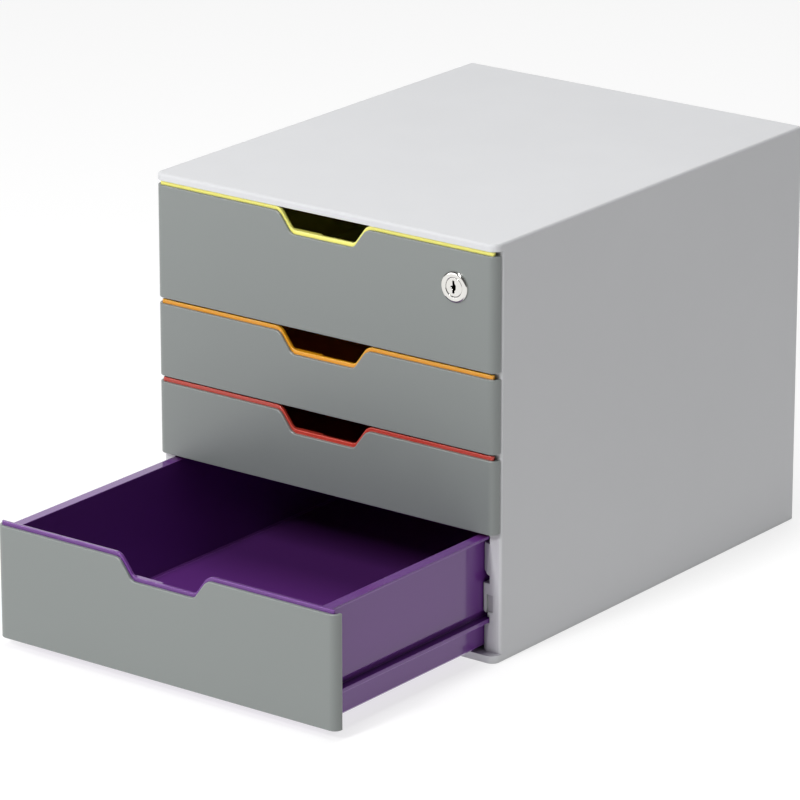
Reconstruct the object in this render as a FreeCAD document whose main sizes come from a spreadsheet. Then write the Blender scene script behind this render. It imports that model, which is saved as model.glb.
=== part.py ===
import FreeCAD, Part

import Sketcher
import math
import os
import re

# Desktop drawer unit for office papers: a moulded housing, two comb-shaped guides,
# four trays with snapped-on fronts and a cam lock in the top drawer.
# Strings in this file are formulas in the names of the sizes below, bound to their sheet.
# Frame: millimetres, X to the right, Y to the back, Z up, origin under the middle of the housing.
# The lowest drawer stands open by open_shown, as drawn; the other three are shut.

doc = FreeCAD.newDocument("FileDrawerUnit")

# Driving sizes, each with its own cell and alias in the sheet.
SIZES = {
    # housing
    "width": 284.0,
    "depth": 358.0,
    "half_pitch": 27.7,
    "base_lip": 5.5,
    "top_lip": 5.0,
    "lip_depth": 3.0,
    "side_wall": 3.0,
    "top_plate": 3.0,
    "base_plate": 3.0,
    "base_rim": 3.0,
    "base_rib": 2.0,
    "base_rib_share": 0.1667,
    "front_corner_radius": 6.6,
    "rear_corner_radius": 3.0,
    "top_edge_radius": 2.0,
    "base_edge_chamfer": 0.8,
    "post_recess": 6.8,
    "post_radius": 2.0,
    # feet
    "foot_size": 16.0,
    "foot_corner_chamfer": 2.0,
    "foot_socket_play": 0.2,
    "foot_socket_wall": 2.0,
    "foot_inset": 18.0,
    # back panel and its screws
    "back_thickness": 2.0,
    "back_recess": 2.0,
    "back_play": 0.3,
    "back_screw_inset": 24.0,
    "back_screw_shank": 3.0,
    "back_screw_length": 5.5,
    "back_screw_across": 5.5,
    "back_screw_head_height": 1.8,
    "screw_hole_play": 0.2,
    # side guides
    "guide_reach": 11.2,
    "channel_reach": 5.2,
    "channel_height": 5.6,
    "channel_drop": 2.0,
    "ridge_chamfer_wide": 4.5,
    "ridge_chamfer_tall": 3.0,
    "ridge_nose_radius": 0.8,
    "guide_skin": 2.0,
    "guide_end": 6.0,
    "lead_in_depth": 2.0,
    "lead_in_top": 4.7,
    "lead_in_foot": 2.8,
    # stop clips
    "clip_inset": 2.4,
    "clip_width": 5.7,
    "clip_rise": 28.0,
    "clip_height": 12.0,
    "clip_depth": 4.5,
    "clip_slope": 1.5,
    "clip_play": 0.1,
    "clip_hook_width": 1.4,
    "clip_hook_gap": 0.4,
    "nub_height": 2.2,
    "nub_length": 4.0,
    "stop_gap": 0.3,
    # drawer fronts
    "panel_thickness": 2.0,
    "panel_side_gap": 0.5,
    "panel_floor_gap": 1.0,
    "panel_top_drop": 3.2,
    "panel_return": 6.2,
    "return_wall": 2.0,
    "panel_corner_radius": 6.0,
    "return_inner_radius": 2.5,
    "panel_edge_chamfer": 0.4,
    "grip_width": 52.0,
    "grip_flare": 10.6,
    "grip_depth": 14.3,
    "grip_foot_radius": 6.0,
    "grip_brow_radius": 8.0,
    "hook_offset": 70.0,
    "hook_width": 8.0,
    "hook_thickness": 1.6,
    "hook_barb": 1.0,
    "hook_play": 0.2,
    "hook_rise": 11.0,
    "hook_drop": 24.0,
    # trays
    "front_wall": 2.2,
    "flange_inset": 1.2,
    "tray_top_drop": 0.6,
    "tray_floor_gap": 2.0,
    "slide_gap": 0.5,
    "runner_gap": 0.3,
    "channel_gap": 0.6,
    "tray_wall": 2.4,
    "tray_floor": 2.0,
    "tray_back_gap": 5.0,
    "tray_heel_chamfer": 1.8,
    "room_heel_chamfer": 1.2,
    "tray_rear_radius": 6.0,
    "rim_thickness": 1.7,
    "rear_rim": 2.0,
    "rib_thickness": 2.8,
    "groove_height": 4.6,
    "groove_depth": 1.3,
    "thumb_pad_inset": 3.0,
    "thumb_pad_height": 12.0,
    "thumb_pad_thickness": 2.0,
    "thumb_pad_radius": 1.8,
    # travel
    "open_shown": 168.0,
    "travel": 290.0,
    # lock
    "lock_inset": 33.0,
    "lock_drop": 25.3,
    "bezel_diameter": 21.0,
    "bezel_proud": 1.6,
    "bezel_edge": 0.7,
    "barrel_diameter": 16.0,
    "barrel_length": 17.8,
    "barrel_play": 0.2,
    "plug_diameter": 13.0,
    "plug_play": 0.1,
    "plug_recess": 0.5,
    "key_slot_width": 2.0,
    "key_slot_height": 8.6,
    "key_slot_depth": 9.0,
    "key_ward": 1.0,
    "nut_across": 22.0,
    "nut_thickness": 3.0,
    "cam_gap": 0.3,
    "cam_thickness": 2.0,
    "cam_reach": 27.0,
    "cam_hub": 15.0,
    "cam_tip": 10.0,
    "cam_tip_radius": 3.0,
    "tenon_width": 6.0,
    "tenon_play": 0.1,
    "cam_screw_across": 7.0,
    "cam_screw_head_height": 2.0,
    "cam_screw_shank": 3.4,
    "cam_screw_length": 5.0,
    # lock strike under the top
    "strike_width": 18.0,
    "strike_drop": 8.0,
    "strike_sheet": 1.5,
    "strike_foot": 13.0,
    "strike_cam_gap": 0.8,
    "strike_screw_length": 3.5,
    "strike_bore_depth": 2.2,
    # overrun of every cut past the face that it starts from
    "overrun": 1.0,
}

# Drawers from the top down: name, height in half pitches.
DRAWERS = [("drawer1", 3), ("drawer2", 2), ("drawer3", 2), ("drawer4", 3)]
CELLS = sum(count for name, count in DRAWERS)
SIDES = {"left": -1, "right": 1}
# Corners of a hexagon in halves of its width across flats.
HEXAGON_SHARES = [(math.cos(turn) / math.cos(math.pi / 6), math.sin(turn) / math.cos(math.pi / 6))
                  for turn in [math.pi / 6 + step * math.pi / 3 for step in range(6)]]

sheet = doc.addObject("Spreadsheet::Sheet", "Sizes")
for row, (alias, size) in enumerate(SIZES.items(), start=1):
    sheet.set("A%d" % row, alias)
    sheet.set("B%d" % row, str(size))
    sheet.setAlias("B%d" % row, alias)
doc.recompute()

# Places that several pieces share, written in the sheet's sizes.
FRONT = "(-depth / 2)"
REAR = "(depth / 2)"
HEIGHT = "(base_lip + %d * half_pitch + top_lip)" % CELLS
CEILING = "(%s - top_plate)" % HEIGHT
POST_FRONT = "(%s + post_recess)" % FRONT
BACK_FACE = "(%s - back_recess - back_thickness)" % REAR
WALL_INSIDE = "(width / 2 - side_wall)"
RIDGE_FACE = "(%s - guide_reach)" % WALL_INSIDE
CHANNEL_END = "(%s + channel_reach)" % RIDGE_FACE
WINDOW_SIDE = "(%s + clip_inset)" % RIDGE_FACE
WINDOW_REAR = "(%s + clip_depth)" % POST_FRONT
WALL_FRONT = "(%s + panel_thickness)" % FRONT
WALL_REAR = "(%s + front_wall)" % WALL_FRONT
PANEL_HALF = "(width / 2 - panel_side_gap)"
FLANGE_HALF = "(%s - return_wall - flange_inset)" % PANEL_HALF
TRAY_HALF = "(%s - slide_gap)" % RIDGE_FACE
RIM_HALF = "(%s - channel_gap)" % CHANNEL_END
TRAY_REAR = "(%s - tray_back_gap)" % BACK_FACE
RIB_FOOT = "(half_pitch - channel_drop - channel_height + runner_gap)"
RIB_TOP = "(%s + rib_thickness)" % RIB_FOOT
LOCK_X = "(width / 2 - lock_inset)"
BARREL_END = "(%s + barrel_length)" % FRONT
CAM_FRONT = "(%s + cam_gap)" % BARREL_END
STRIKE_REAR = "(%s - strike_cam_gap)" % CAM_FRONT
STRIKE_SCREW_Y = "(%s + strike_foot / 2)" % STRIKE_REAR


def bound(text):
    """Turn a formula in size names into one that reads the sheet."""
    return re.sub(r"[a-z][a-z_]+", lambda word: "Sizes." + word.group(), text)


def number(text):
    """Return what a formula comes to with the sheet's present sizes."""
    return float(sheet.evalExpression(bound(text)))


def body_named(name):
    """Start a sub-part of its own."""
    body = doc.addObject("PartDesign::Body", name)
    body.Label = name
    return body


def origin_part(body, role):
    """Return a plane or an axis of the body's own origin."""
    return [item for item in body.Origin.OriginFeatures if item.Role == role][0]


def place(body, across="0", along="0", up="0"):
    """Put a sub-part where the sizes say."""
    for axis, text in (("x", across), ("y", along), ("z", up)):
        body.setExpression("Placement.Base." + axis, bound(text))


# The planes of a body's origin, with the sense of each normal along its world axis.
PLANES = {"plan": ("XY_Plane", 1), "front": ("XZ_Plane", -1), "side": ("YZ_Plane", 1)}


def sketch_on(body, name, plane, level):
    """Lay an empty sketch across the body at a level along the plane's axis."""
    role, sense = PLANES[plane]
    sketch = body.newObject("Sketcher::SketchObject", name)
    sketch.AttachmentSupport = [(origin_part(body, role), "")]
    sketch.MapMode = "FlatFace"
    sketch.setExpression("AttachmentOffset.Base.z", bound("%d * %s" % (sense, level)))
    return sketch


def pin_point(sketch, geometry, point, corner):
    """Hold a sketch point at a place written in sizes."""
    for kind, text in zip(("DistanceX", "DistanceY"), corner):
        index = sketch.addConstraint(Sketcher.Constraint(kind, -1, 1, geometry, point, number(text)))
        sketch.setExpression("Constraints[%d]" % index, bound(text))


def draw_polygon(sketch, corners):
    """Add a closed run of straight lines through the corners."""
    spots = [FreeCAD.Vector(number(across), number(up), 0) for across, up in corners]
    first = sketch.GeometryCount
    for start, end in zip(spots, spots[1:] + spots[:1]):
        sketch.addGeometry(Part.LineSegment(start, end))
    for step in range(len(spots)):
        following = first + (step + 1) % len(spots)
        sketch.addConstraint(Sketcher.Constraint("Coincident", first + step, 2, following, 1))
        pin_point(sketch, first + step, 1, corners[step])


def draw_circle(sketch, centre, diameter):
    """Add a circle about a place written in sizes."""
    spot = FreeCAD.Vector(number(centre[0]), number(centre[1]), 0)
    index = sketch.addGeometry(Part.Circle(spot, FreeCAD.Vector(0, 0, 1), number(diameter) / 2))
    pin_point(sketch, index, 3, centre)
    rule = sketch.addConstraint(Sketcher.Constraint("Diameter", index, number(diameter)))
    sketch.setExpression("Constraints[%d]" % rule, bound(diameter))


def settle(body, feature, grows):
    """Recompute and make sure that a feature changed the solid the way it should."""
    before = body.Shape.Volume if body.Tip and not body.Shape.isNull() else 0.0
    body.Tip = feature
    doc.recompute()
    gain = body.Shape.Volume - before
    if (gain <= 0) == grows:
        state = (feature.Label, body.Label, gain, feature.State)
        raise RuntimeError("%s of %s changed the volume by %.3f: %s" % state)
    return feature


def extrude(body, kind, name, plane, start, end, polygons=(), circles=()):
    """Pad or pocket an outline between two levels along its plane's axis."""
    sense = PLANES[plane][1]
    sketch = sketch_on(body, name + "Outline", plane, start)
    for corners in polygons:
        draw_polygon(sketch, corners)
    for centre, diameter in circles:
        draw_circle(sketch, centre, diameter)
    feature = body.newObject("PartDesign::" + kind, name)
    feature.Profile = sketch
    feature.setExpression("Length", bound("%s - %s" % (end, start)))
    feature.Reversed = (sense < 0) == (kind == "Pad")
    return settle(body, feature, kind == "Pad")


def pad(body, name, plane, start, end, *polygons, **more):
    """Add material between two levels."""
    return extrude(body, "Pad", name, plane, start, end, polygons, **more)


def pocket(body, name, plane, start, end, *polygons, **more):
    """Take material away between two levels."""
    return extrude(body, "Pocket", name, plane, start, end, polygons, **more)


def revolve(body, name, corners):
    """Turn an outline about the body's Z axis, radius across and height up."""
    sketch = sketch_on(body, name + "Outline", "front", "0")
    draw_polygon(sketch, corners)
    feature = body.newObject("PartDesign::Revolution", name)
    feature.Profile = sketch
    feature.ReferenceAxis = (origin_part(body, "Z_Axis"), [""])
    feature.Angle = 360
    return settle(body, feature, True)


def repeat(body, name, feature, count):
    """Repeat a feature up the body, one half pitch apart."""
    pattern = body.newObject("PartDesign::LinearPattern", name)
    pattern.Originals = [feature]
    pattern.Direction = (origin_part(body, "Z_Axis"), [""])
    pattern.Mode = "Spacing"
    pattern.setExpression("Offset", bound("half_pitch"))
    pattern.Occurrences = count
    return settle(body, pattern, feature.TypeId.endswith("Pad"))


def box(left, right, low, high):
    """Return the corners of a rectangle."""
    return [(left, low), (right, low), (right, high), (left, high)]


def spread(half):
    """Return the two ends of a width about the middle."""
    return "-" + half, half


NEAR = 1e-4


def same(first, second):
    """Say whether two lengths are equal."""
    return abs(first - second) < NEAR


def edges_at(body, test):
    """Name the edges whose two ends and middle all pass a test on their place."""
    names = []
    for index, edge in enumerate(body.Shape.Edges, start=1):
        middle = edge.valueAt((edge.FirstParameter + edge.LastParameter) / 2)
        spots = [vertex.Point for vertex in edge.Vertexes] + [middle]
        if all(test(spot - body.Placement.Base) for spot in spots):
            names.append("Edge%d" % index)
    if not names:
        raise RuntimeError("no edge found on " + body.Label)
    return names


def round_edges(body, name, radius, test, kind="Fillet"):
    """Round or chamfer the edges that pass a test on their place."""
    names = edges_at(body, test)
    base = body.Tip
    feature = body.newObject("PartDesign::" + kind, name)
    feature.Base = (base, names)
    feature.setExpression("Radius" if kind == "Fillet" else "Size", bound(radius))
    body.Tip = feature
    doc.recompute()
    return feature


def upright_at(*places):
    """Return a test for upright edges at the given plan positions."""
    spots = [(number(across), number(along)) for across, along in places]
    return lambda spot: any(same(spot.x, across) and same(spot.y, along) for across, along in spots)


def level_at(text):
    """Return a test for edges that lie wholly at one height."""
    height = number(text)
    return lambda spot: same(spot.z, height)


def along_at(*places):
    """Return a test for edges that run front to back at the given heights."""
    spots = [(number(across), number(up)) for across, up in places]
    return lambda spot: any(same(spot.x, across) and same(spot.z, up) for across, up in spots)


def cell_floor(index):
    """Return the height of a drawer's cell above the base."""
    below = sum(count for name, count in DRAWERS[index + 1:])
    return "(base_lip + %d * half_pitch)" % below


def foot_places():
    """Return the plan position of each foot's middle, by name."""
    across = "(width / 2 - foot_inset)"
    along = "(depth / 2 - foot_inset)"
    return {
        "foot_front_left": ("-" + across, "-" + along),
        "foot_front_right": (across, "-" + along),
        "foot_rear_left": ("-" + across, along),
        "foot_rear_right": (across, along),
    }


def square_about(spot, half):
    """Return the corners of a square about a place."""
    across, along = spot
    return box("(%s - %s)" % (across, half), "(%s + %s)" % (across, half),
               "(%s - %s)" % (along, half), "(%s + %s)" % (along, half))


def back_screw_places():
    """Return the position of each back screw, in the middle of a guide's rear end."""
    across = "(%s - guide_reach / 2)" % WALL_INSIDE
    low = "(base_lip + back_screw_inset)"
    high = "(%s - back_screw_inset)" % CEILING
    return [("-" + across, low), (across, low), ("-" + across, high), (across, high)]


def make_housing():
    """Mould the sleeve: top, sides and base in one, open at the front and the back."""
    body = body_named("housing_shell")
    left, right = spread("(width / 2)")
    pad(body, "Sleeve", "plan", "0", HEIGHT, box(left, right, FRONT, REAR))
    round_edges(body, "FrontCorners", "front_corner_radius", upright_at((left, FRONT), (right, FRONT)))
    round_edges(body, "RearCorners", "rear_corner_radius", upright_at((left, REAR), (right, REAR)))
    round_edges(body, "TopEdge", "top_edge_radius", level_at(HEIGHT))
    round_edges(body, "BaseEdge", "base_edge_chamfer", level_at("0"), kind="Chamfer")
    lip_under = "(%s - top_lip)" % HEIGHT
    inner_left, inner_right = spread(WALL_INSIDE)
    bay_start = "(%s + lip_depth)" % FRONT
    past_rear = "(%s + overrun)" % REAR
    past_front = "(%s - overrun)" % FRONT
    pocket(body, "Bay", "front", bay_start, past_rear, box(inner_left, inner_right, "base_lip", CEILING))
    outer_left, outer_right = spread("(width / 2 + overrun)")
    mouth = box(outer_left, outer_right, "base_lip", lip_under)
    pocket(body, "Mouth", "front", past_front, POST_FRONT, mouth)
    round_edges(body, "PostEdges", "post_radius", front_of_posts())
    cut_underside(body)
    bore = ((LOCK_X, STRIKE_SCREW_Y), "(back_screw_shank + screw_hole_play)")
    bore_end = "(%s + strike_bore_depth)" % CEILING
    pocket(body, "StrikeBore", "plan", "(%s - overrun)" % CEILING, bore_end, circles=[bore])
    return body


def front_of_posts():
    """Return a test for the outer front edges of the two posts beside the drawers."""
    front = number(POST_FRONT)
    inside = number(WALL_INSIDE)
    return lambda spot: same(spot.y, front) and abs(spot.x) > inside + NEAR


def cut_underside(body):
    """Hollow the base from below, leaving a rim, cross ribs and a socket for each foot."""
    rim_left, rim_right = spread("(width / 2 - base_rim)")
    rim_front = "(%s + base_rim)" % FRONT
    rim_rear = "(%s - base_rim)" % REAR
    floor_under = "(base_lip - base_plate)"
    hollow = box(rim_left, rim_right, rim_front, rim_rear)
    pocket(body, "Underside", "plan", "(-overrun)", floor_under, hollow)
    corners = [(across, along) for across in (rim_left, rim_right) for along in (rim_front, rim_rear)]
    round_edges(body, "UndersideCorners", "front_corner_radius - base_rim", upright_at(*corners))
    socket = "(foot_size / 2 + foot_socket_play)"
    boss = "(%s + foot_socket_wall)" % socket
    spots = foot_places().values()
    pad(body, "FootBosses", "plan", "0", floor_under, *[square_about(spot, boss) for spot in spots])
    sockets = [square_about(spot, socket) for spot in spots]
    pocket(body, "FootSockets", "plan", "(-overrun)", floor_under, *sockets)
    for name, along in (("FrontRib", "(-depth * base_rib_share)"), ("RearRib", "(depth * base_rib_share)")):
        rib = box(rim_left, rim_right, "(%s - base_rib / 2)" % along, "(%s + base_rib / 2)" % along)
        pad(body, name, "plan", "0", floor_under, rib)


def make_feet():
    """Mould the four rubber feet that fill the sockets, flush with the base."""
    feet = []
    for name, (across, along) in foot_places().items():
        body = body_named(name)
        half = "(foot_size / 2)"
        pad(body, "Block", "plan", "0", "(base_lip - base_plate)", square_about(("0", "0"), half))
        corners = [(x, y) for x in spread(half) for y in spread(half)]
        round_edges(body, "Corners", "foot_corner_chamfer", upright_at(*corners), kind="Chamfer")
        place(body, across, along)
        feet.append(body)
    return feet


def make_back():
    """Cut the plain back panel and drill it for its screws."""
    body = body_named("back_panel")
    left, right = spread("(%s - back_play)" % WALL_INSIDE)
    plate = box(left, right, "(base_lip + back_play)", "(%s - back_play)" % CEILING)
    rear = "(%s + back_thickness)" % BACK_FACE
    pad(body, "Plate", "front", BACK_FACE, rear, plate)
    holes = [(spot, "(back_screw_shank + screw_hole_play)") for spot in back_screw_places()]
    past_rear = "(%s + overrun)" % rear
    pocket(body, "ScrewHoles", "front", "(%s - overrun)" % BACK_FACE, past_rear, circles=holes)
    return body


def hexagon(across):
    """Return the corners of a hexagon about the middle, from its width across flats."""
    return [("(%.6f * %s / 2)" % (x, across), "(%.6f * %s / 2)" % (y, across)) for x, y in HEXAGON_SHARES]


def screw(name, across, head_height, shank, length):
    """Make a hexagon-head tapping screw about Z, with its head above the seat and its shank below."""
    body = body_named(name)
    pad(body, "Head", "plan", "0", head_height, hexagon(across))
    pad(body, "Shank", "plan", "(-%s)" % length, "0", circles=[(("0", "0"), shank)])
    return body


def make_back_screws():
    """Drive a screw through the back panel into each guide's rear end, low and high."""
    screws = []
    for count, (across, up) in enumerate(back_screw_places(), start=1):
        size = ("back_screw_across", "back_screw_head_height", "back_screw_shank", "back_screw_length")
        body = screw("back_screw_%d" % count, *size)
        body.Placement.Rotation = FreeCAD.Rotation(FreeCAD.Vector(1, 0, 0), -90)
        place(body, across, "(%s + back_thickness)" % BACK_FACE, up)
        screws.append(body)
    return screws


def signed(side, text):
    """Mirror a place to the left or right side."""
    return "(%d * %s)" % (side, text)


def channel_top(count):
    """Return the top of a guide's channel, counted from the base upwards."""
    return "(base_lip + %d * half_pitch - channel_drop)" % count


def clip_ridges():
    """Return the channel below each ridge that carries a stop clip."""
    return [sum(count for name, count in DRAWERS[index + 1:]) + 1 for index in range(len(DRAWERS))]


def make_guide(name, side):
    """Mould a side guide: a comb of ridges with slide channels between them, hollow behind."""
    body = body_named(name)
    inner = signed(side, RIDGE_FACE)
    outer = signed(side, WALL_INSIDE)
    pad(body, "Block", "front", POST_FRONT, BACK_FACE, box(inner, outer, "base_lip", CEILING))
    top = channel_top(1)
    foot = "(%s - channel_height)" % top
    slope = "ridge_chamfer_tall / ridge_chamfer_wide"
    mouth = signed(side, "(%s - overrun)" % RIDGE_FACE)
    end = signed(side, CHANNEL_END)
    turn = signed(side, "(%s + ridge_chamfer_wide)" % RIDGE_FACE)
    brow = "(%s + ridge_chamfer_tall + overrun * %s)" % (top, slope)
    outline = [(mouth, foot), (end, foot), (end, top), (turn, top), (mouth, brow)]
    past_front = "(%s - overrun)" % POST_FRONT
    past_rear = "(%s + overrun)" % BACK_FACE
    channel = pocket(body, "Channel", "front", past_front, past_rear, outline)
    repeat(body, "Channels", channel, CELLS)
    hollow_front = "(%s + guide_end)" % POST_FRONT
    hollow_rear = "(%s - guide_end)" % BACK_FACE
    hollow_foot = "(base_lip + guide_skin)"
    hollow_top = "(%s - guide_skin)" % foot
    past_outer = signed(side, "(%s + overrun)" % WALL_INSIDE)
    deep = signed(side, "(%s + guide_skin)" % RIDGE_FACE)
    shallow = signed(side, "(%s + guide_skin)" % CHANNEL_END)
    cavity = box(deep, past_outer, hollow_foot, hollow_top)
    hollow = pocket(body, "Hollow", "front", hollow_front, hollow_rear, cavity)
    repeat(body, "Hollows", hollow, CELLS)
    back_relief = box(shallow, past_outer, hollow_foot, "(%s - guide_skin)" % CEILING)
    pocket(body, "BackRelief", "front", hollow_front, hollow_rear, back_relief)
    for count in clip_ridges():
        low = "(base_lip + %d * half_pitch + clip_rise)" % (count - 1)
        high = "(%s + clip_height)" % low
        near = signed(side, WINDOW_SIDE)
        far = signed(side, "(%s + clip_width)" % WINDOW_SIDE)
        notch = signed(side, "(%s + clip_hook_width + 2 * clip_play)" % WINDOW_SIDE)
        down = "(%s - channel_height / 2)" % channel_top(count)
        window = [(near, down), (notch, down), (notch, low), (far, low), (far, high), (near, high)]
        pocket(body, "Window%d" % count, "front", past_front, WINDOW_REAR, window)
    for count in range(CELLS):
        if count not in clip_ridges():
            cut_lead_in(body, count, side)
    screws = [spot for spot in back_screw_places() if spot[0].startswith("-") == (side < 0)]
    bores = [(spot, "(back_screw_shank + screw_hole_play)") for spot in screws]
    pocket(body, "ScrewBores", "front", hollow_rear, past_rear, circles=bores)
    round_edges(body, "Noses", "ridge_nose_radius", upright_at((inner, POST_FRONT)))
    return body


def cut_lead_in(body, count, side):
    """Taper the front of a ridge towards the drawer, wider at its top than at its foot."""
    name = "LeadIn%d" % count
    low = "(%s - channel_height / 2)" % channel_top(count) if count else "base_lip"
    high = "(%s - channel_height / 2)" % channel_top(count + 1)
    feature = body.newObject("PartDesign::SubtractiveLoft", name)
    outlines = []
    for part, level, reach in (("Foot", low, "lead_in_foot"), ("Top", high, "lead_in_top")):
        sketch = sketch_on(body, name + part, "plan", level)
        inner = signed(side, "(%s - overrun)" % RIDGE_FACE)
        outer = signed(side, "(%s + %s)" % (RIDGE_FACE, reach))
        past_front = "(%s - overrun)" % POST_FRONT
        rear = "(%s + lead_in_depth)" % POST_FRONT
        draw_polygon(sketch, [(inner, past_front), (outer, past_front), (outer, POST_FRONT), (inner, rear)])
        outlines.append(sketch)
    feature.Profile = outlines[0]
    feature.Sections = outlines[1:]
    feature.Ruled = True
    settle(body, feature, False)


def make_clips(name, side):
    """Mould the stop clips: a sloped tongue in its window, with a hook down to the runner."""
    clips = []
    for index, (drawer, count) in enumerate(DRAWERS):
        body = body_named("%s_%s" % (name, drawer[-1]))
        near = signed(side, "(%s + clip_play)" % WINDOW_SIDE)
        far = signed(side, "(%s + clip_width - clip_play)" % WINDOW_SIDE)
        low = "(clip_rise + clip_play)"
        high = "(clip_rise + clip_height - clip_play)"
        face = "(%s + clip_play)" % POST_FRONT
        sloped = "(%s + clip_slope)" % POST_FRONT
        tongue = [(near, sloped), (far, face), (far, WINDOW_REAR), (near, WINDOW_REAR)]
        pad(body, "Tongue", "plan", low, high, tongue)
        hook_side = signed(side, "(%s + clip_play + clip_hook_width)" % WINDOW_SIDE)
        hook = box(near, hook_side, sloped, WINDOW_REAR)
        pad(body, "Hook", "plan", "(%s + clip_hook_gap)" % RIB_TOP, low, hook)
        place(body, up=cell_floor(index))
        clips.append(body)
    return clips


def grip_outline(top):
    """Return the finger cut-out below a given top edge, wider at the top."""
    foot = "(%s - grip_depth)" % top
    past_top = "(%s + overrun)" % top
    half = "(grip_width / 2)"
    brow = "(%s + grip_flare * (1 + overrun / grip_depth))" % half
    return [("-" + half, foot), (half, foot), (brow, past_top), ("-" + brow, past_top)]


def cut_grip(body, top, front, rear):
    """Cut the finger cut-out and round its corners."""
    pocket(body, "Grip", "front", "(%s - overrun)" % front, "(%s + overrun)" % rear, grip_outline(top))
    foot = "(%s - grip_depth)" % top
    half = "(grip_width / 2)"
    brow = "(%s + grip_flare)" % half
    round_edges(body, "GripFoot", "grip_foot_radius", along_at(("-" + half, foot), (half, foot)))
    round_edges(body, "GripBrow", "grip_brow_radius", along_at(("-" + brow, top), (brow, top)))


def drawer_height(count):
    """Return the height of a drawer's cell."""
    return "(%d * half_pitch)" % count


def hook_rows(count):
    """Return the heights of the two rows of snap hooks in a drawer."""
    return ["hook_rise", "(%s - panel_top_drop - hook_drop)" % drawer_height(count)]


def lock_height(count):
    """Return the height of the lock's axis above the floor of its cell."""
    return "(%s - panel_top_drop - lock_drop)" % drawer_height(count)


def face_edges(right):
    """Return a test for the edges round a drawer front's flat face."""
    face = number(FRONT)
    side = number(right)
    return lambda spot: same(spot.y, face) and abs(spot.x) < side


def make_front(name, count, locked):
    """Mould a drawer front: a plate with rounded returns, a finger cut-out and snap hooks."""
    body = body_named(name + "_front")
    left, right = spread(PANEL_HALF)
    inner_left, inner_right = spread("(%s - return_wall)" % PANEL_HALF)
    back = "(%s + panel_return)" % FRONT
    top = "(%s - panel_top_drop)" % drawer_height(count)
    profile = [(left, back), (left, FRONT), (right, FRONT), (right, back), (inner_right, back)]
    profile += [(inner_right, WALL_FRONT), (inner_left, WALL_FRONT), (inner_left, back)]
    pad(body, "Plate", "plan", "panel_floor_gap", top, profile)
    round_edges(body, "Corners", "panel_corner_radius", upright_at((left, FRONT), (right, FRONT)))
    inside = upright_at((inner_left, WALL_FRONT), (inner_right, WALL_FRONT))
    round_edges(body, "InnerCorners", "return_inner_radius", inside)
    cut_grip(body, top, FRONT, WALL_FRONT)
    round_edges(body, "FaceEdge", "panel_edge_chamfer", face_edges(right), kind="Chamfer")
    if locked:
        hole = (LOCK_X, lock_height(count)), "(barrel_diameter + 2 * barrel_play)"
        past_rear = "(%s + overrun)" % WALL_FRONT
        pocket(body, "LockHole", "front", "(%s - overrun)" % FRONT, past_rear, circles=[hole])
    barb = "(%s + hook_play)" % WALL_REAR
    tip = "(%s + hook_thickness)" % barb
    for row, foot in enumerate(hook_rows(count), start=1):
        beam = "(%s + hook_thickness)" % foot
        catch = "(%s + hook_barb)" % beam
        for word, side in SIDES.items():
            hook = [(WALL_FRONT, foot), (tip, foot), (tip, beam)]
            hook += [(barb, catch), (barb, beam), (WALL_FRONT, beam)]
            start = "(%d * hook_offset - hook_width / 2)" % side
            end = "(%d * hook_offset + hook_width / 2)" % side
            pad(body, "Hook%s%d" % (word, row), "side", start, end, hook)
    return body


def heel_edges():
    """Return a test for the tub's lowest edges at the sides and the back."""
    front = number(WALL_FRONT)
    floor = number("tray_floor_gap")
    half = number(TRAY_HALF)
    return lambda spot: same(spot.z, floor) and (spot.y > front + NEAR or same(abs(spot.x), half))


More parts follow.
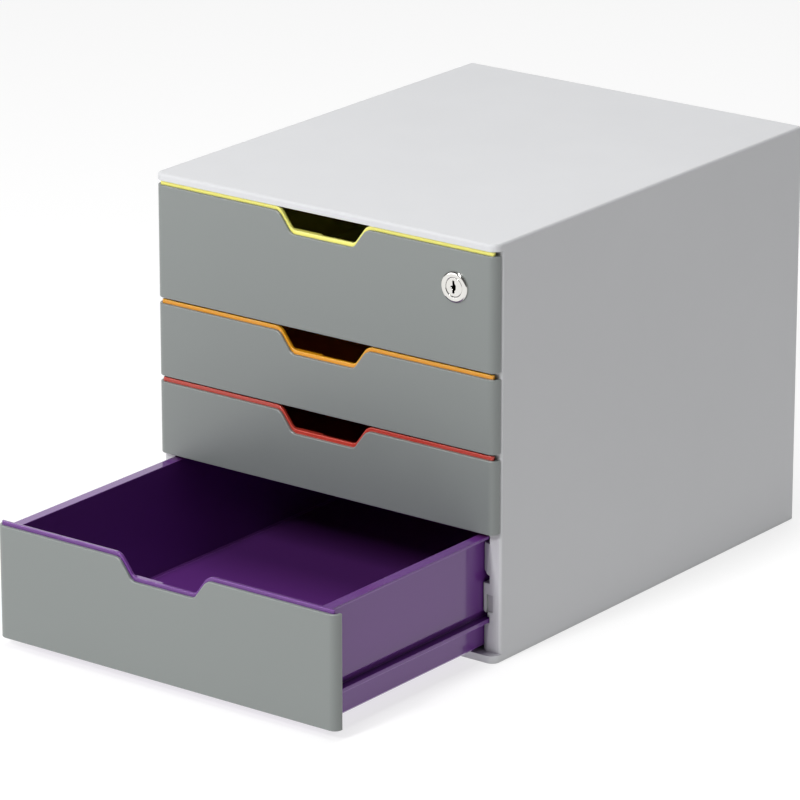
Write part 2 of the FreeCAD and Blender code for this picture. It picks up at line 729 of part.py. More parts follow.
def make_tray(name, count, locked):
    """Mould a tray: tub, rim, runner ribs, grooves over the ribs and a flanged front wall."""
    body = body_named(name + "_tray")
    left, right = spread(TRAY_HALF)
    top = "(%s - channel_drop - runner_gap)" % drawer_height(count)
    pad(body, "Tub", "plan", "tray_floor_gap", top, box(left, right, WALL_FRONT, TRAY_REAR))
    round_edges(body, "RearCorners", "tray_rear_radius", upright_at((left, TRAY_REAR), (right, TRAY_REAR)))
    round_edges(body, "Heel", "tray_heel_chamfer", heel_edges(), kind="Chamfer")
    rim_left, rim_right = spread(RIM_HALF)
    rim_rear = "(%s + rear_rim)" % TRAY_REAR
    rim = box(rim_left, rim_right, WALL_REAR, rim_rear)
    pad(body, "Rim", "plan", "(%s - rim_thickness)" % top, top, rim)
    rim_corners = upright_at((rim_left, rim_rear), (rim_right, rim_rear))
    round_edges(body, "RimCorners", "tray_rear_radius", rim_corners)
    rib_rear = "(%s - tray_rear_radius)" % TRAY_REAR
    pad(body, "Ribs", "plan", RIB_FOOT, RIB_TOP, box(rim_left, rim_right, WALL_REAR, rib_rear))
    groove_top = "(%s + groove_height)" % RIB_TOP
    for word, side in SIDES.items():
        groove_floor = signed(side, "(%s - groove_depth)" % TRAY_HALF)
        groove = box(groove_floor, signed(side, RIM_HALF), WALL_REAR, rib_rear)
        pocket(body, "Groove" + word, "plan", RIB_TOP, groove_top, groove)
        nub_side = "(%s + 2 * clip_play)" % WINDOW_SIDE
        nub_front = "(%s + travel + stop_gap)" % WINDOW_REAR
        nub_rear = "(%s + nub_length)" % nub_front
        nub_end = signed(side, "(%s + clip_hook_width)" % nub_side)
        nub = box(signed(side, nub_side), nub_end, nub_front, nub_rear)
        pad(body, "StopNub" + word, "plan", RIB_TOP, "(%s + nub_height)" % RIB_TOP, nub)
    flange_left, flange_right = spread(FLANGE_HALF)
    flange_top = "(%s - tray_top_drop)" % drawer_height(count)
    flange = box(flange_left, flange_right, "tray_floor_gap", flange_top)
    pad(body, "FrontWall", "front", WALL_FRONT, WALL_REAR, flange)
    flange_edges = upright_at((flange_left, WALL_FRONT), (flange_right, WALL_FRONT))
    round_edges(body, "FlangeEdges", "front_wall / 2", flange_edges)
    room_left, room_right = spread("(%s - tray_wall)" % TRAY_HALF)
    room_rear = "(%s - tray_wall)" % TRAY_REAR
    room_floor = "(tray_floor_gap + tray_floor)"
    past_top = "(%s + overrun)" % flange_top
    room = box(room_left, room_right, WALL_REAR, room_rear)
    pocket(body, "Room", "plan", room_floor, past_top, room)
    room_corners = upright_at((room_left, room_rear), (room_right, room_rear))
    round_edges(body, "RoomCorners", "tray_rear_radius - tray_wall", room_corners)
    round_edges(body, "RoomHeel", "room_heel_chamfer", level_at(room_floor), kind="Chamfer")
    cut_grip(body, flange_top, WALL_FRONT, WALL_REAR)
    pad_left = "(-grip_width / 2)"
    pad_right = "(-thumb_pad_inset)"
    pad_top = "(%s - grip_depth)" % flange_top
    thumb = box(pad_left, pad_right, "(%s - thumb_pad_height)" % pad_top, pad_top)
    pad_rear = "(%s + thumb_pad_thickness)" % WALL_REAR
    pad(body, "ThumbPad", "front", WALL_REAR, pad_rear, thumb)
    round_edges(body, "ThumbPadEdge", "thumb_pad_radius", upright_at((pad_right, pad_rear)))
    slot_half = "(hook_width / 2 + hook_play)"
    slots = []
    for foot in hook_rows(count):
        low = "(%s - hook_play)" % foot
        high = "(%s + hook_thickness + hook_play)" % foot
        for side in SIDES.values():
            start = "(%d * hook_offset - %s)" % (side, slot_half)
            end = "(%d * hook_offset + %s)" % (side, slot_half)
            slots.append(box(start, end, low, high))
    holes = []
    if locked:
        holes.append(((LOCK_X, lock_height(count)), "(barrel_diameter + 2 * barrel_play)"))
    past_front = "(%s - overrun)" % WALL_FRONT
    pocket(body, "Slots", "front", past_front, "(%s + overrun)" % WALL_REAR, *slots, circles=holes)
    return body


def make_drawers():
    """Build each drawer in its own cell, and pull the lowest one out as shown."""
    pieces = []
    for index, (name, count) in enumerate(DRAWERS):
        locked = index == 0
        pulled = "(-open_shown)" if index == len(DRAWERS) - 1 else "0"
        for body in (make_tray(name, count, locked), make_front(name, count, locked)):
            place(body, along=pulled, up=cell_floor(index))
            pieces.append(body)
    return pieces


LOCK_UP = "(%s + %s)" % (cell_floor(0), lock_height(DRAWERS[0][1]))


def place_on_lock(body, along="0"):
    """Turn a piece so that its Z points to the front, and put it on the lock's axis."""
    body.Placement.Rotation = FreeCAD.Rotation(FreeCAD.Vector(1, 0, 0), 90)
    place(body, LOCK_X, along, LOCK_UP)


def make_lock_barrel():
    """Turn the lock's barrel with its bezel, bored for the plug."""
    body = body_named("lock_barrel")
    bore = "(plug_diameter / 2 + plug_play)"
    tube = "(barrel_diameter / 2)"
    rim = "(bezel_diameter / 2)"
    crown = "(%s - bezel_edge)" % rim
    end = "(-barrel_length)"
    outline = [(bore, end), (tube, end), (tube, "0"), (rim, "0"), (crown, "bezel_proud"), (bore, "bezel_proud")]
    revolve(body, "Barrel", outline)
    place_on_lock(body, FRONT)
    return body


def make_lock_nut():
    """Cut the hexagonal nut that holds the barrel from inside the tray."""
    body = body_named("lock_nut")
    bore = (("0", "0"), "(barrel_diameter + barrel_play)")
    pad(body, "Hexagon", "front", "0", "nut_thickness", hexagon("nut_across"), circles=[bore])
    place(body, LOCK_X, WALL_REAR, LOCK_UP)
    return body


def make_lock_plug():
    """Turn the plug, cut its keyhole and square its rear end for the cam."""
    body = body_named("lock_plug")
    radius = "(plug_diameter / 2)"
    face = "(bezel_proud - plug_recess)"
    end = "(-barrel_length - cam_gap / 2)"
    revolve(body, "Plug", [("0", end), (radius, end), (radius, face), ("0", face)])
    half_tenon = "(tenon_width / 2)"
    square = box("-" + half_tenon, half_tenon, "-" + half_tenon, half_tenon)
    pad(body, "Tenon", "plan", "(-barrel_length - cam_gap - cam_thickness)", end, square)
    half_slot = "(key_slot_width / 2)"
    half_height = "(key_slot_height / 2)"
    ward = "(-%s - key_ward)" % half_slot
    slot = [("-" + half_slot, "-" + half_height), (half_slot, "-" + half_height), (half_slot, half_height)]
    slot += [("-" + half_slot, half_height), ("-" + half_slot, "key_ward"), (ward, "key_ward")]
    slot += [(ward, "(-key_ward)"), ("-" + half_slot, "(-key_ward)")]
    pocket(body, "Keyhole", "plan", "(%s - key_slot_depth)" % face, "(%s + overrun)" % face, slot)
    shank = (("0", "0"), "cam_screw_shank")
    tenon_end = "(-barrel_length - cam_gap - cam_thickness)"
    depth = "(%s + cam_screw_length)" % tenon_end
    pocket(body, "ScrewBore", "plan", "(%s - overrun)" % tenon_end, depth, circles=[shank])
    place_on_lock(body, FRONT)
    return body


def make_lock_cam():
    """Cut the cam: a flat finger on the tenon, pointing to the left when unlocked."""
    body = body_named("lock_cam")
    hub = "(cam_hub / 2)"
    tip = "(cam_tip / 2)"
    finger = [("-cam_reach", "-" + tip), ("-" + hub, "-" + tip), ("0", "-" + hub), (hub, "-" + tip)]
    finger += [(hub, tip), ("0", hub), ("-" + hub, tip), ("-cam_reach", tip)]
    pad(body, "Finger", "front", "0", "cam_thickness", finger)
    ends = along_at(("-cam_reach", "-" + tip), ("-cam_reach", tip))
    round_edges(body, "Tip", "cam_tip_radius", ends)
    half = "(tenon_width / 2 + tenon_play)"
    square = box("-" + half, half, "-" + half, half)
    pocket(body, "TenonHole", "front", "(-overrun)", "(cam_thickness + overrun)", square)
    place(body, LOCK_X, CAM_FRONT, LOCK_UP)
    return body


def make_cam_screw():
    """Make the screw that holds the cam on its tenon."""
    body = screw("cam_screw", "cam_screw_across", "cam_screw_head_height", "cam_screw_shank", "cam_screw_length")
    body.Placement.Rotation = FreeCAD.Rotation(FreeCAD.Vector(1, 0, 0), -90)
    place(body, LOCK_X, "(%s + cam_thickness)" % CAM_FRONT, LOCK_UP)
    return body


def make_strike():
    """Bend the strike that the raised cam stands behind, and drill its foot."""
    body = body_named("lock_strike")
    face = "(%s - strike_sheet)" % STRIKE_REAR
    rear = "(%s + strike_foot)" % STRIKE_REAR
    inner = "(%s - strike_sheet)" % CEILING
    low = "(%s - strike_drop)" % CEILING
    profile = [(face, low), (STRIKE_REAR, low), (STRIKE_REAR, inner)]
    profile += [(rear, inner), (rear, CEILING), (face, CEILING)]
    pad(body, "Angle", "side", "(-strike_width / 2)", "(strike_width / 2)", profile)
    hole = (("0", STRIKE_SCREW_Y), "(back_screw_shank + screw_hole_play)")
    pocket(body, "ScrewHole", "plan", "(%s - overrun)" % inner, "(%s + overrun)" % CEILING, circles=[hole])
    place(body, LOCK_X)
    return body


def make_strike_screw():
    """Make the screw that holds the strike up to the top plate."""
    size = ("back_screw_across", "back_screw_head_height", "back_screw_shank", "strike_screw_length")
    body = screw("strike_screw", *size)
    body.Placement.Rotation = FreeCAD.Rotation(FreeCAD.Vector(1, 0, 0), 180)
    place(body, LOCK_X, STRIKE_SCREW_Y, "(%s - strike_sheet)" % CEILING)
    return body


pieces = [make_housing(), make_back()]
pieces += make_feet()
pieces += make_back_screws()
for word, side in SIDES.items():
    pieces.append(make_guide(word + "_guide", side))
    pieces += make_clips(word + "_stop_clip", side)
pieces += make_drawers()
pieces += [make_lock_barrel(), make_lock_nut(), make_lock_plug(), make_lock_cam(), make_cam_screw()]
pieces += [make_strike(), make_strike_screw()]

doc.recompute()
for item in doc.Objects:
    if {"Invalid", "Error"} & set(item.State):
        raise RuntimeError("%s failed: %s" % (item.Label, item.State))
os.makedirs("parts", exist_ok=True)
for piece in pieces:
    shape = piece.Shape
    if shape.isNull() or not shape.isValid() or len(shape.Solids) != 1:
        raise RuntimeError("%s is not one valid solid" % piece.Label)
for piece in pieces:
    piece.Shape.exportStep("parts/%s.step" % piece.Label)
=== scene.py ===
import math

import bmesh
import bpy
from mathutils import Matrix, Vector


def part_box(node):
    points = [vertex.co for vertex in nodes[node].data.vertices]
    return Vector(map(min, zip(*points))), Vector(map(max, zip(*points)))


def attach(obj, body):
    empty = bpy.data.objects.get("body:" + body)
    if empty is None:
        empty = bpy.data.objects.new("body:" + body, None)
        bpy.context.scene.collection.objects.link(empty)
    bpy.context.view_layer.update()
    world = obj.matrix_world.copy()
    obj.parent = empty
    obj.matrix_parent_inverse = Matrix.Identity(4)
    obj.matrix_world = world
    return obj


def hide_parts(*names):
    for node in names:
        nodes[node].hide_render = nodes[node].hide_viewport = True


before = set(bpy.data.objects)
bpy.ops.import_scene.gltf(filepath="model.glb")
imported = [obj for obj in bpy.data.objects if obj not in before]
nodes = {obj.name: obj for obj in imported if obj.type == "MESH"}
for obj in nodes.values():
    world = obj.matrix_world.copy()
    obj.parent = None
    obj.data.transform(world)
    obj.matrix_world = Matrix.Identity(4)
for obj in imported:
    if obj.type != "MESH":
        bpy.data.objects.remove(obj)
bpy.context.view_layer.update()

MM = 0.001
NEAR = 1e-5
CREASE_ANGLE = math.radians(32)

# The camera that took the photograph, fitted to the housing's edges.
VIEW_AZIMUTH = 37.16
VIEW_ELEVATION = 18.5
VIEW_ROLL = -0.02
VIEW_DISTANCE = 3.625
VIEW_TARGET = Vector((-0.0002, -0.0935, 0.1323))
VIEW_LENS = 241.6
VIEW_SENSOR = 36.0
VIEW_REACH = 100.0

# Colours of the mouldings and metals as linear light.
HOUSING_GREY = (0.645, 0.65, 0.665)
FRONT_GREY = (0.196, 0.214, 0.207)
BACK_GREY = (0.55, 0.555, 0.57)
CLIP_GREY = (0.56, 0.565, 0.57)
TRAY_TONES = {
    "drawer1": (0.96, 0.90, 0.2),
    "drawer2": (0.80, 0.32, 0.008),
    "drawer3": (0.52, 0.05, 0.032),
    "drawer4": (0.137, 0.033, 0.232),
}
RUBBER_BLACK = (0.02, 0.02, 0.022)
# The keyhole's inner walls get this dark tone, which paints the shade inside the keyhole.
KEYHOLE_PAINTED_SHADE = (0.03, 0.028, 0.024)
LOCK_SILVER = (0.71, 0.70, 0.67)
STEEL_GREY = (0.45, 0.45, 0.46)
FLOOR_WHITE = (0.34, 0.34, 0.34)

# Scales of the noises in the finishes, in waves per metre, and the middle of a noise's values.
TONE_SCALE = 9.0
FLOW_SCALE = 40.0
CAST_SCALE = 120.0
ROLL_SCALE = 600.0
TURN_SCALE = 3000.0
FLOOR_SCALE = 2.0
NOISE_RANGE = (0.3, 0.7)

# Depths of the bumps in plastic and metal, and the radius of the metal's soft edges.
GRAIN_DEPTH = 0.1 * MM
TURN_DEPTH = 0.05 * MM
METAL_EDGE = 0.15 * MM

# How far the plastic's roughness and the tones of metal and floor wander.
FLOW_CHANGE = 0.03
CAST_CHANGE = 0.04
FLOOR_CHANGE = 0.01

# Painted groove shade and edges: what counts as a groove or an edge, and how much an edge is covered,
# polished and whitened, partly as a painted highlight.
GROOVE_SHADE_RANGE = (0.15, 0.8)
GROOVE_SHADE_SAMPLES = 8
EDGE_RANGE = (1.0, 0.9)
EDGE_SAMPLES = 6
WORN_HIGHLIGHT_COVER = 0.9
WORN_POLISH = 0.8
WORN_HIGHLIGHT_WHITE = 1 / 14

# Sizes of the lock and the screws, which the CAD leaves without threads and fine edges.
BEZEL_PROUD = 1.6 * MM
BEZEL_SHOULDER = 1.7 * MM
BEZEL_RIM_SHARE = 0.3
BEZEL_BORE_SHARE = 0.72
BEZEL_LIP_SHARE = 0.86
BEZEL_LIP = 0.25 * MM
TUBE_RADIUS = 8.0 * MM
TUBE_THREAD_START = -5.0 * MM
TUBE_CHAMFER = 0.4 * MM
TUBE_PITCH = 1.0 * MM
TUBE_THREAD = 0.35 * MM
PLUG_PLAY = 0.1 * MM
PLUG_BEVEL = 0.25 * MM
TENON_LENGTH = 2.15 * MM
TENON_WIDTH = 6.0 * MM
PLUG_BORE = 1.7 * MM
PLUG_BORE_DEPTH = 5.0 * MM
KEYHOLE_DEPTH = 9.0 * MM
SCREW_PITCH = 0.8 * MM
SCREW_THREAD = 0.3 * MM
SCREW_HEAD = 1.8 * MM
CAM_SCREW_HEAD = 2.0 * MM
WIDE_SCREW = 6.5 * MM
WIDE_SHANK = 1.7 * MM
SLIM_SHANK = 1.5 * MM
SCREW_POINT = 0.2 * MM
SCREW_TAPER = 0.8 * MM
SCREW_TAPER_SHARE = 0.7
SCREW_THREAD_START = 1.2 * MM
SCREW_THREAD_END = -0.1 * MM
WASHER_RISE = 0.15 * MM
FLATS_RISE = 0.2 * MM
FLATS_RISE_SHARE = 0.84
FLATS_WIDTH_SHARE = 0.98

# The dished top of a screw: shares of the head's width from its axis, and of its height.
SCREW_TOP_SHARES = [(0.475, 1.0), (0.34, 1.0), (0.31, 0.8), (0.05, 0.78)]

# Sides of the round pieces, and steps of the bezel's dome.
BARREL_SIDES = 96
PLUG_SIDES = 72
SCREW_SIDES = 48
DOME_STEPS = 4

# Outline of the keyhole seen from the front, in millimetres from the plug's axis.
KEYHOLE = [(-2.6, -0.7), (-1.3, -1.4), (-1.3, -4.3), (0.5, -4.3), (0.5, -2.6), (1.5, -1.2),
           (1.5, 1.2), (0.5, 2.6), (0.3, 4.3), (-1.3, 4.3), (-1.1, 0.9), (-2.6, 0.5)]

# The studio: the floor and the backdrop, and each softbox's place, aim, width, height and watts.
FLOOR_SPAN = 60.0
FLOOR_ROUGHNESS = 0.9
FLOOR_GLOW = 0.72
FILL_LIGHT = 0.11
BACKDROP_LIGHT = 1.25
BACKDROP_SIDE = (-0.57, 0.76, 0.31)
BACKDROP_EDGE = (0.72, 0.97)
SOFTBOXES = {
    "front_box": ((-0.1, -2.5, 1.95), (0, -0.1, 0.1), 0.35, 0.7, 41.0),
    "top_box": ((0, -0.45, 3.0), (0, -0.45, 0.1), 0.7, 3.0, 52.0),
    "left_box": ((-1.3, -1.9, 0.45), (0, -0.2, 0.15), 0.8, 0.6, 9.0),
}


def principled(name):
    """Start a material and return it with its node tree and shader."""
    material = bpy.data.materials.new(name)
    material.use_nodes = True
    tree = material.node_tree
    return material, tree, tree.nodes["Principled BSDF"]


def add(tree, kind, **settings):
    """Add a node and set its plain properties and its input values."""
    node = tree.nodes.new(kind)
    for key, value in settings.items():
        if key in node.inputs:
            node.inputs[key].default_value = value
        else:
            setattr(node, key, value)
    return node


def noise(tree, scale, detail=3.0):
    """Return a noise texture on the object's own coordinates."""
    coordinates = add(tree, "ShaderNodeTexCoord")
    texture = add(tree, "ShaderNodeTexNoise", Scale=scale, Detail=detail)
    tree.links.new(coordinates.outputs["Object"], texture.inputs["Vector"])
    return texture.outputs["Fac"]


def stretch(tree, factor, start, end, low, high):
    """Map a factor from one range to another."""
    mapped = add(tree, "ShaderNodeMapRange")
    mapped.inputs["From Min"].default_value = start
    mapped.inputs["From Max"].default_value = end
    mapped.inputs["To Min"].default_value = low
    mapped.inputs["To Max"].default_value = high
    tree.links.new(factor, mapped.inputs["Value"])
    return mapped.outputs["Result"]


def spread(tree, factor, low, high):
    """Map a noise factor from its middle range to a range of values."""
    return stretch(tree, factor, *NOISE_RANGE, low, high)


def blend_tones(tree, factor, first, second):
    """Mix two colours, each a plain tone or another node's output."""
    mix = add(tree, "ShaderNodeMix", data_type="RGBA")
    colours = [socket for socket in mix.inputs if socket.type == "RGBA"]
    for socket, tone in zip(colours, (first, second)):
        if isinstance(tone, bpy.types.NodeSocket):
            tree.links.new(tone, socket)
        else:
            socket.default_value = list(tone) + [1]
    tree.links.new(factor, mix.inputs[0])
    return [socket for socket in mix.outputs if socket.type == "RGBA"][0]


def mottled(tree, tone, factor, change):
    """Return a colour that wanders a little around a tone."""
    darker = [value * (1 - change) for value in tone]
    lighter = [value * (1 + change) for value in tone]
    return blend_tones(tree, factor, darker, lighter)


def painted_groove_shade(tree, colour, tone, reach, kept):
    """Paint shade into a colour in narrow gaps and grooves, darker where ambient occlusion finds the
    surface hemmed in.
    """
    hollow = add(tree, "ShaderNodeAmbientOcclusion", samples=GROOVE_SHADE_SAMPLES, Distance=reach)
    factor = stretch(tree, hollow.outputs["AO"], *GROOVE_SHADE_RANGE, 0.0, 1.0)
    return blend_tones(tree, factor, [value * kept for value in tone], colour)


def edge_mask(tree, rounded):
    """Return 1 on the edges that a rounded normal softens, and 0 on flat faces."""
    geometry = add(tree, "ShaderNodeNewGeometry")
    agree = add(tree, "ShaderNodeVectorMath", operation="DOT_PRODUCT")
    tree.links.new(geometry.outputs["Normal"], agree.inputs[0])
    tree.links.new(rounded, agree.inputs[1])
    return stretch(tree, agree.outputs["Value"], *EDGE_RANGE, 0.0, 1.0)


def soft_edges(tree, radius):
    """Return a normal that rounds the edges of a piece."""
    bevel = add(tree, "ShaderNodeBevel", samples=EDGE_SAMPLES, Radius=radius)
    return bevel.outputs["Normal"]


def moulded(name, tone, roughness, edge=0.4 * MM, grain=1400.0, relief=0.02, change=0.02,
            ior=1.5, shine=0.5, wear_and_highlight=0.15, groove_shade_kept=None, reach=None):
    """Make an injection-moulded plastic: fine grain, faint flow marks and edges worn smooth.

    The edge-lightening setting says how much lighter the edges are, partly wear and partly a painted
    highlight, and the groove settings say how much of its light a groove keeps under painted shade and how
    wide a groove is shaded.
    """
    material, tree, shader = principled(name)
    rounded = soft_edges(tree, edge)
    worn_and_highlit = edge_mask(tree, rounded)
    body = mottled(tree, tone, noise(tree, TONE_SCALE), change)
    # Painted shade: darken the colour where ambient occlusion finds a groove or a gap.
    if groove_shade_kept:
        body = painted_groove_shade(tree, body, tone, reach, groove_shade_kept)
    # Lighten and whiten the edges: partly wear, partly a painted highlight.
    worn_highlight_tone = [min(1.0, value * (1 + wear_and_highlight) + wear_and_highlight * WORN_HIGHLIGHT_WHITE) for value in tone]
    tree.links.new(blend_tones(tree, stretch(tree, worn_and_highlit, 0.0, 1.0, 0.0, WORN_HIGHLIGHT_COVER), body, worn_highlight_tone),
                   shader.inputs["Base Color"])
    flow = spread(tree, noise(tree, FLOW_SCALE), roughness - FLOW_CHANGE, roughness + FLOW_CHANGE)
    polish = add(tree, "ShaderNodeMath", operation="MULTIPLY")
    tree.links.new(flow, polish.inputs[0])
    tree.links.new(stretch(tree, worn_and_highlit, 0.0, 1.0, 1.0, WORN_POLISH), polish.inputs[1])
    tree.links.new(polish.outputs["Value"], shader.inputs["Roughness"])
    bump = add(tree, "ShaderNodeBump", Strength=relief, Distance=GRAIN_DEPTH)
    tree.links.new(noise(tree, grain, detail=2.0), bump.inputs["Height"])
    tree.links.new(rounded, bump.inputs["Normal"])
    tree.links.new(bump.outputs["Normal"], shader.inputs["Normal"])
    shader.inputs["IOR"].default_value = ior
    shader.inputs["Specular IOR Level"].default_value = shine
    return material


def metal(name, tone, roughness, change=0.08, relief=0.05):
    """Make a metal with faint turning or rolling marks."""
    material, tree, shader = principled(name)
    shader.inputs["Metallic"].default_value = 1.0
    tree.links.new(mottled(tree, tone, noise(tree, CAST_SCALE), CAST_CHANGE), shader.inputs["Base Color"])
    rolled = spread(tree, noise(tree, ROLL_SCALE), roughness, roughness + change)
    tree.links.new(rolled, shader.inputs["Roughness"])
    bump = add(tree, "ShaderNodeBump", Strength=relief, Distance=TURN_DEPTH)
    tree.links.new(noise(tree, TURN_SCALE), bump.inputs["Height"])
    tree.links.new(soft_edges(tree, METAL_EDGE), bump.inputs["Normal"])
    tree.links.new(bump.outputs["Normal"], shader.inputs["Normal"])
    return material


def paint(piece, material):
    """Give a piece its finish."""
    piece.data.materials.clear()
    piece.data.materials.append(material)


def make_finishes():
    """Make every finish once, by name."""
    # Crease settings paint shade into grooves and gaps; wear settings lighten edges, partly as wear and
    # partly as a painted highlight, strongest on the fronts and trays.
    finishes = {
        "housing": moulded("housing_plastic", HOUSING_GREY, roughness=0.52, shine=0.35,
                           groove_shade_kept=0.6, reach=6 * MM),
        "front": moulded("front_plastic", FRONT_GREY, roughness=0.34, edge=0.6 * MM, shine=0.8, wear_and_highlight=0.8),
        "back": moulded("back_sheet", BACK_GREY, roughness=0.55, shine=0.35, groove_shade_kept=0.6, reach=6 * MM),
        "clip": moulded("clip_plastic", CLIP_GREY, roughness=0.4, groove_shade_kept=0.5, reach=3 * MM),
        "rubber": moulded("foot_rubber", RUBBER_BLACK, roughness=0.8, grain=2500.0, relief=0.2, change=0.1),
        "chrome": metal("lock_chrome", LOCK_SILVER, roughness=0.05, change=0.04, relief=0.01),
        "steel": metal("zinc_steel", STEEL_GREY, roughness=0.33),
        # A dark finish that paints the shade inside the keyhole.
        "keyhole_shade": metal("painted_keyhole_shade", KEYHOLE_PAINTED_SHADE, roughness=0.5),
    }
    for name, tone in TRAY_TONES.items():
        finishes[name] = moulded(name + "_plastic", tone, roughness=0.12, edge=0.9 * MM, grain=900.0,
                                 relief=0.004, change=0.03, ior=1.55, groove_shade_kept=0.8, reach=3 * MM, wear_and_highlight=0.7)
    return finishes


def finish_of(node):
    """Name the finish of a CAD node."""
    drawer, kind = node.split("_")[0], node.split("_")[-1]
    if node in ("housing_shell", "left_guide", "right_guide"):
        return "housing"
    if node == "back_panel":
        return "back"
    if "stop_clip" in node:
        return "clip"
    if drawer == "foot":
        return "rubber"
    if drawer in TRAY_TONES:
        return drawer if kind == "tray" else "front"
    return "chrome" if node in ("lock_barrel", "lock_plug") else "steel"


def make_mesh(name, loops, closed=True):
    """Skin a run of equally long point loops into a smooth piece with crisp edges."""
    mesh = bmesh.new()
    rings = [[mesh.verts.new(point) for point in loop] for loop in loops]
    pairs = list(zip(rings, rings[1:]))
    if closed:
        pairs.append((rings[-1], rings[0]))
    else:
        mesh.faces.new(rings[0])
        mesh.faces.new(rings[-1])
    for first, second in pairs:
        count = len(first)
        for step in range(count):
            following = (step + 1) % count
            mesh.faces.new((first[step], first[following], second[following], second[step]))
    bmesh.ops.recalc_face_normals(mesh, faces=mesh.faces)
    for face in mesh.faces:
        face.smooth = True
    for edge in mesh.edges:
        if len(edge.link_faces) == 2 and edge.calc_face_angle() > CREASE_ANGLE:
            edge.smooth = False
    data = bpy.data.meshes.new(name)
    mesh.to_mesh(data)
    mesh.free()
    piece = bpy.data.objects.new(name, data)
    bpy.context.scene.collection.objects.link(piece)
    return piece


def even_turns(count):
    """Return evenly spaced turns about an axis."""
    return [2 * math.pi * step / count for step in range(count)]


def circle_points(radius, level, turns):
    """Return the points of a circle about Z."""
    return [Vector((radius * math.cos(turn), radius * math.sin(turn), level)) for turn in turns]


def outline_points(corners, level, turns):
    """Return the points where rays from the Z axis leave an outline round it."""
    points = []
    for turn in turns:
        ray = Vector((math.cos(turn), math.sin(turn)))
        for start, end in zip(corners, corners[1:] + corners[:1]):
            side = Vector(end) - Vector(start)
            across = ray.cross(side)
            if across > 0 and -NEAR <= Vector(start).cross(ray) / across <= 1 + NEAR:
                radius = Vector(start).cross(side) / across
                points.append(Vector((radius * ray.x, radius * ray.y, level)))
                break
    return points


def polygon_corners(sides, across):
    """Return the corners of a regular polygon of a width across its flats."""
    radius = across / 2 / math.cos(math.pi / sides)
    return [(point[0], point[1]) for point in
            circle_points(radius, 0, [turn + math.pi / sides for turn in even_turns(sides)])]


def stand_for(piece, node, body, place, axis, finish):
    """Put a piece with its Z axis along a direction, in the place of a CAD node."""
    turn = Vector(axis).to_track_quat("Z", "Y").to_matrix().to_4x4()
    piece.matrix_world = Matrix.Translation(place) @ turn
    paint(piece, finish)
    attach(piece, body)
    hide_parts(node)


def thread_profile(radius, start, end, pitch, depth):
    """Return a run of turned grooves along a shank, from one level to another."""
    count = max(1, int(abs(end - start) / pitch))
    step = (end - start) / count
    profile = []
    for turn in range(count):
        level = start + turn * step
        profile += [(radius, level), (radius - depth, level + step / 2)]
    return profile + [(radius, end)]


def make_barrel(finish):
    """Turn the lock's barrel: a domed bezel, a crisp inner lip and a threaded tube."""
    low, high = (Vector(corner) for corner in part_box("lock_barrel"))
    middle = (low + high) / 2
    rim = (high[0] - low[0]) / 2
    plug_low, plug_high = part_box("lock_plug")
    bore = (plug_high[0] - plug_low[0]) / 2 + PLUG_PLAY
    face = Vector((middle[0], low[1] + BEZEL_PROUD, middle[2]))
    rear = -(high[1] - low[1] - BEZEL_PROUD)
    profile = [(bore, rear), (bore, BEZEL_PROUD * BEZEL_BORE_SHARE)]
    profile.append((bore + BEZEL_LIP, BEZEL_PROUD * BEZEL_LIP_SHARE))
    for step in range(DOME_STEPS + 1):
        turn = step / DOME_STEPS * math.pi / 2
        radius = rim - BEZEL_SHOULDER + BEZEL_SHOULDER * math.sin(turn)
        profile.append((radius, BEZEL_PROUD * (BEZEL_RIM_SHARE + (1 - BEZEL_RIM_SHARE) * math.cos(turn))))
    profile += [(rim, 0.0), (TUBE_RADIUS, 0.0)]
    profile += thread_profile(TUBE_RADIUS, TUBE_THREAD_START, rear + TUBE_CHAMFER, TUBE_PITCH, TUBE_THREAD)
    profile.append((TUBE_RADIUS - TUBE_CHAMFER, rear))
    loops = [circle_points(radius, level, even_turns(BARREL_SIDES)) for radius, level in profile]
    piece = make_mesh("lock_bezel_and_tube", loops)
    stand_for(piece, "lock_barrel", "drawer1", face, (0, -1, 0), finish)


def make_plug(finish, keyhole_shade):
    """Turn the lock's plug: a bevelled face with a warded keyhole whose inner walls are painted dark as
    shade, and a square tenon behind.
    """
    low, high = (Vector(corner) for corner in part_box("lock_plug"))
    middle = (low + high) / 2
    radius = (high[0] - low[0]) / 2
    rear = low[1] - high[1]
    shoulder = rear + TENON_LENGTH
    keyhole = [(across * MM, up * MM) for across, up in KEYHOLE]
    tenon = polygon_corners(4, TENON_WIDTH)
    turns = even_turns(PLUG_SIDES) + [math.atan2(up, across) % (2 * math.pi) for across, up in keyhole]
    turns = sorted(turns)
    loops = [circle_points(PLUG_BORE, rear + PLUG_BORE_DEPTH, turns), circle_points(PLUG_BORE, rear, turns)]
    loops += [outline_points(tenon, rear, turns), outline_points(tenon, shoulder, turns)]
    loops += [circle_points(radius, shoulder, turns), circle_points(radius, -PLUG_BEVEL, turns)]
    loops += [circle_points(radius - PLUG_BEVEL, 0, turns), outline_points(keyhole, 0, turns)]
    loops += [outline_points(keyhole, -KEYHOLE_DEPTH, turns)]
    piece = make_mesh("lock_plug_with_keyhole", loops, closed=False)
    face = Vector((middle[0], low[1], middle[2]))
    stand_for(piece, "lock_plug", "lock", face, (0, -1, 0), finish)
    piece.data.materials.append(keyhole_shade)
    # Paint the keyhole's inner walls with the dark finish, which stands for the shade inside the keyhole.
    farthest = max(Vector(corner).length for corner in keyhole) + NEAR
    for side in piece.data.polygons:
        points = [piece.data.vertices[index].co for index in side.vertices]
        inside = all(point.xy.length < farthest and point.z > -KEYHOLE_DEPTH - NEAR for point in points)
        if inside and min(point.z for point in points) < -NEAR:
            side.material_index = 1


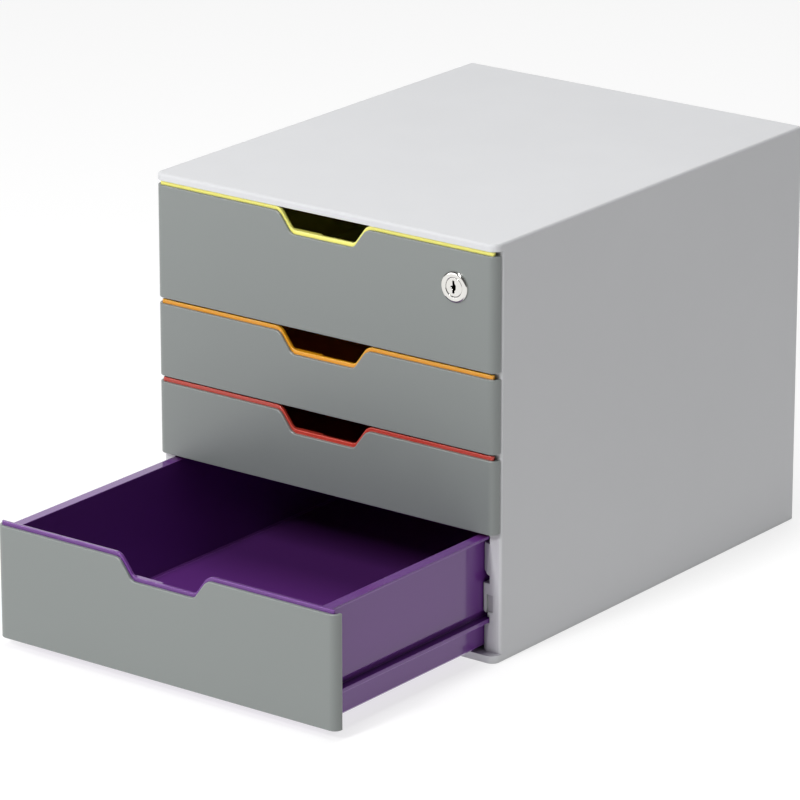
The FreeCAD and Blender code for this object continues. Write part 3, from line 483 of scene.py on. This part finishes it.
def make_screw(node, body, head, axis, finish):
    """Make a hexagon-head tapping screw with a washer face, a dished top and a thread."""
    low, high = (Vector(corner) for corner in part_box(node))
    axis = Vector(axis)
    middle = (low + high) / 2
    span = abs((high - low).dot(axis))
    seat = middle + axis * (span / 2 - head)
    across = min(side for side in (high - low) if abs(side - span) > NEAR)
    shank = SLIM_SHANK if across < WIDE_SCREW else WIDE_SHANK
    turns = even_turns(SCREW_SIDES)
    hexagon = polygon_corners(6, across * FLATS_WIDTH_SHARE)
    tip = head - span
    profile = [(SCREW_POINT, tip), (shank * SCREW_TAPER_SHARE, tip + SCREW_TAPER)]
    profile += thread_profile(shank, tip + SCREW_THREAD_START, SCREW_THREAD_END, SCREW_PITCH, SCREW_THREAD)
    profile += [(across / 2, 0.0), (across / 2, WASHER_RISE)]
    loops = [circle_points(radius, level, turns) for radius, level in profile]
    loops += [outline_points(hexagon, level, turns) for level in (FLATS_RISE, head * FLATS_RISE_SHARE)]
    loops += [circle_points(across * width, head * rise, turns) for width, rise in SCREW_TOP_SHARES]
    piece = make_mesh(node + "_threaded", loops, closed=False)
    stand_for(piece, node, body, seat, axis, finish)


def dress_part():
    """Give every CAD node its finish and put the turned metal pieces in place."""
    finishes = make_finishes()
    for node in nodes:
        paint(nodes[node], finishes[finish_of(node)])
    make_barrel(finishes["chrome"])
    make_plug(finishes["chrome"], finishes["keyhole_shade"])
    for count in range(1, 5):
        make_screw("back_screw_%d" % count, "housing", SCREW_HEAD, (0, 1, 0), finishes["steel"])
    make_screw("strike_screw", "housing", SCREW_HEAD, (0, 0, -1), finishes["steel"])
    make_screw("cam_screw", "lock", CAM_SCREW_HEAD, (0, 1, 0), finishes["steel"])


def make_floor():
    """Lay the plain pale floor."""
    bpy.ops.mesh.primitive_plane_add(size=FLOOR_SPAN, location=(0, 0, 0))
    floor = bpy.context.object
    floor.name = "floor"
    material, tree, shader = principled("pale_floor")
    tone = mottled(tree, FLOOR_WHITE, noise(tree, FLOOR_SCALE), FLOOR_CHANGE)
    tree.links.new(tone, shader.inputs["Base Color"])
    shader.inputs["Roughness"].default_value = FLOOR_ROUGHNESS
    shader.inputs["Specular IOR Level"].default_value = 0.0
    shader.inputs["Emission Color"].default_value = (1, 1, 1, 1)
    shader.inputs["Emission Strength"].default_value = FLOOR_GLOW
    floor.data.materials.append(material)


def area_light(name, place, aim, width, height, power):
    """Hang a softbox that faces a point."""
    lamp = bpy.data.lights.new(name, "AREA")
    lamp.shape = "RECTANGLE"
    lamp.size = width
    lamp.size_y = height
    lamp.energy = power
    holder = bpy.data.objects.new(name, lamp)
    bpy.context.scene.collection.objects.link(holder)
    holder.location = place
    holder.rotation_mode = "QUATERNION"
    holder.rotation_quaternion = (Vector(aim) - Vector(place)).to_track_quat("-Z", "Y")


def make_studio():
    """Light the part with a compact frontal key, an overhead box, a low left box and a backdrop."""
    world = bpy.data.worlds.new("studio")
    bpy.context.scene.world = world
    world.use_nodes = True
    tree = world.node_tree
    background = tree.nodes["Background"]
    coordinates = add(tree, "ShaderNodeTexCoord")
    backdrop = add(tree, "ShaderNodeVectorMath", operation="DOT_PRODUCT")
    backdrop.inputs[1].default_value = BACKDROP_SIDE
    tree.links.new(coordinates.outputs["Generated"], backdrop.inputs[0])
    ramp = add(tree, "ShaderNodeMapRange", interpolation_type="SMOOTHSTEP")
    ramp.inputs["From Min"].default_value = BACKDROP_EDGE[0]
    ramp.inputs["From Max"].default_value = BACKDROP_EDGE[1]
    ramp.inputs["To Min"].default_value = FILL_LIGHT
    ramp.inputs["To Max"].default_value = BACKDROP_LIGHT
    tree.links.new(backdrop.outputs["Value"], ramp.inputs["Value"])
    tree.links.new(ramp.outputs["Result"], background.inputs["Strength"])
    background.inputs["Color"].default_value = (1, 1, 1, 1)
    for name, settings in SOFTBOXES.items():
        area_light(name, *settings)


def make_camera():
    """Stand where the photograph was taken."""
    azimuth = math.radians(VIEW_AZIMUTH)
    elevation = math.radians(VIEW_ELEVATION)
    level = math.cos(elevation)
    back = Vector((math.sin(azimuth) * level, -math.cos(azimuth) * level, math.sin(elevation)))
    lens = bpy.data.cameras.new("camera")
    lens.lens = VIEW_LENS
    lens.sensor_width = VIEW_SENSOR
    lens.clip_end = VIEW_REACH
    camera = bpy.data.objects.new("camera", lens)
    bpy.context.scene.collection.objects.link(camera)
    turn = (-back).to_track_quat("-Z", "Y").to_matrix().to_4x4()
    roll = Matrix.Rotation(math.radians(VIEW_ROLL), 4, "Z")
    camera.matrix_world = Matrix.Translation(VIEW_TARGET + back * VIEW_DISTANCE) @ turn @ roll
    bpy.context.scene.camera = camera


make_camera()
make_floor()
make_studio()
dress_part()
bpy.context.scene.view_settings.view_transform = "Standard"
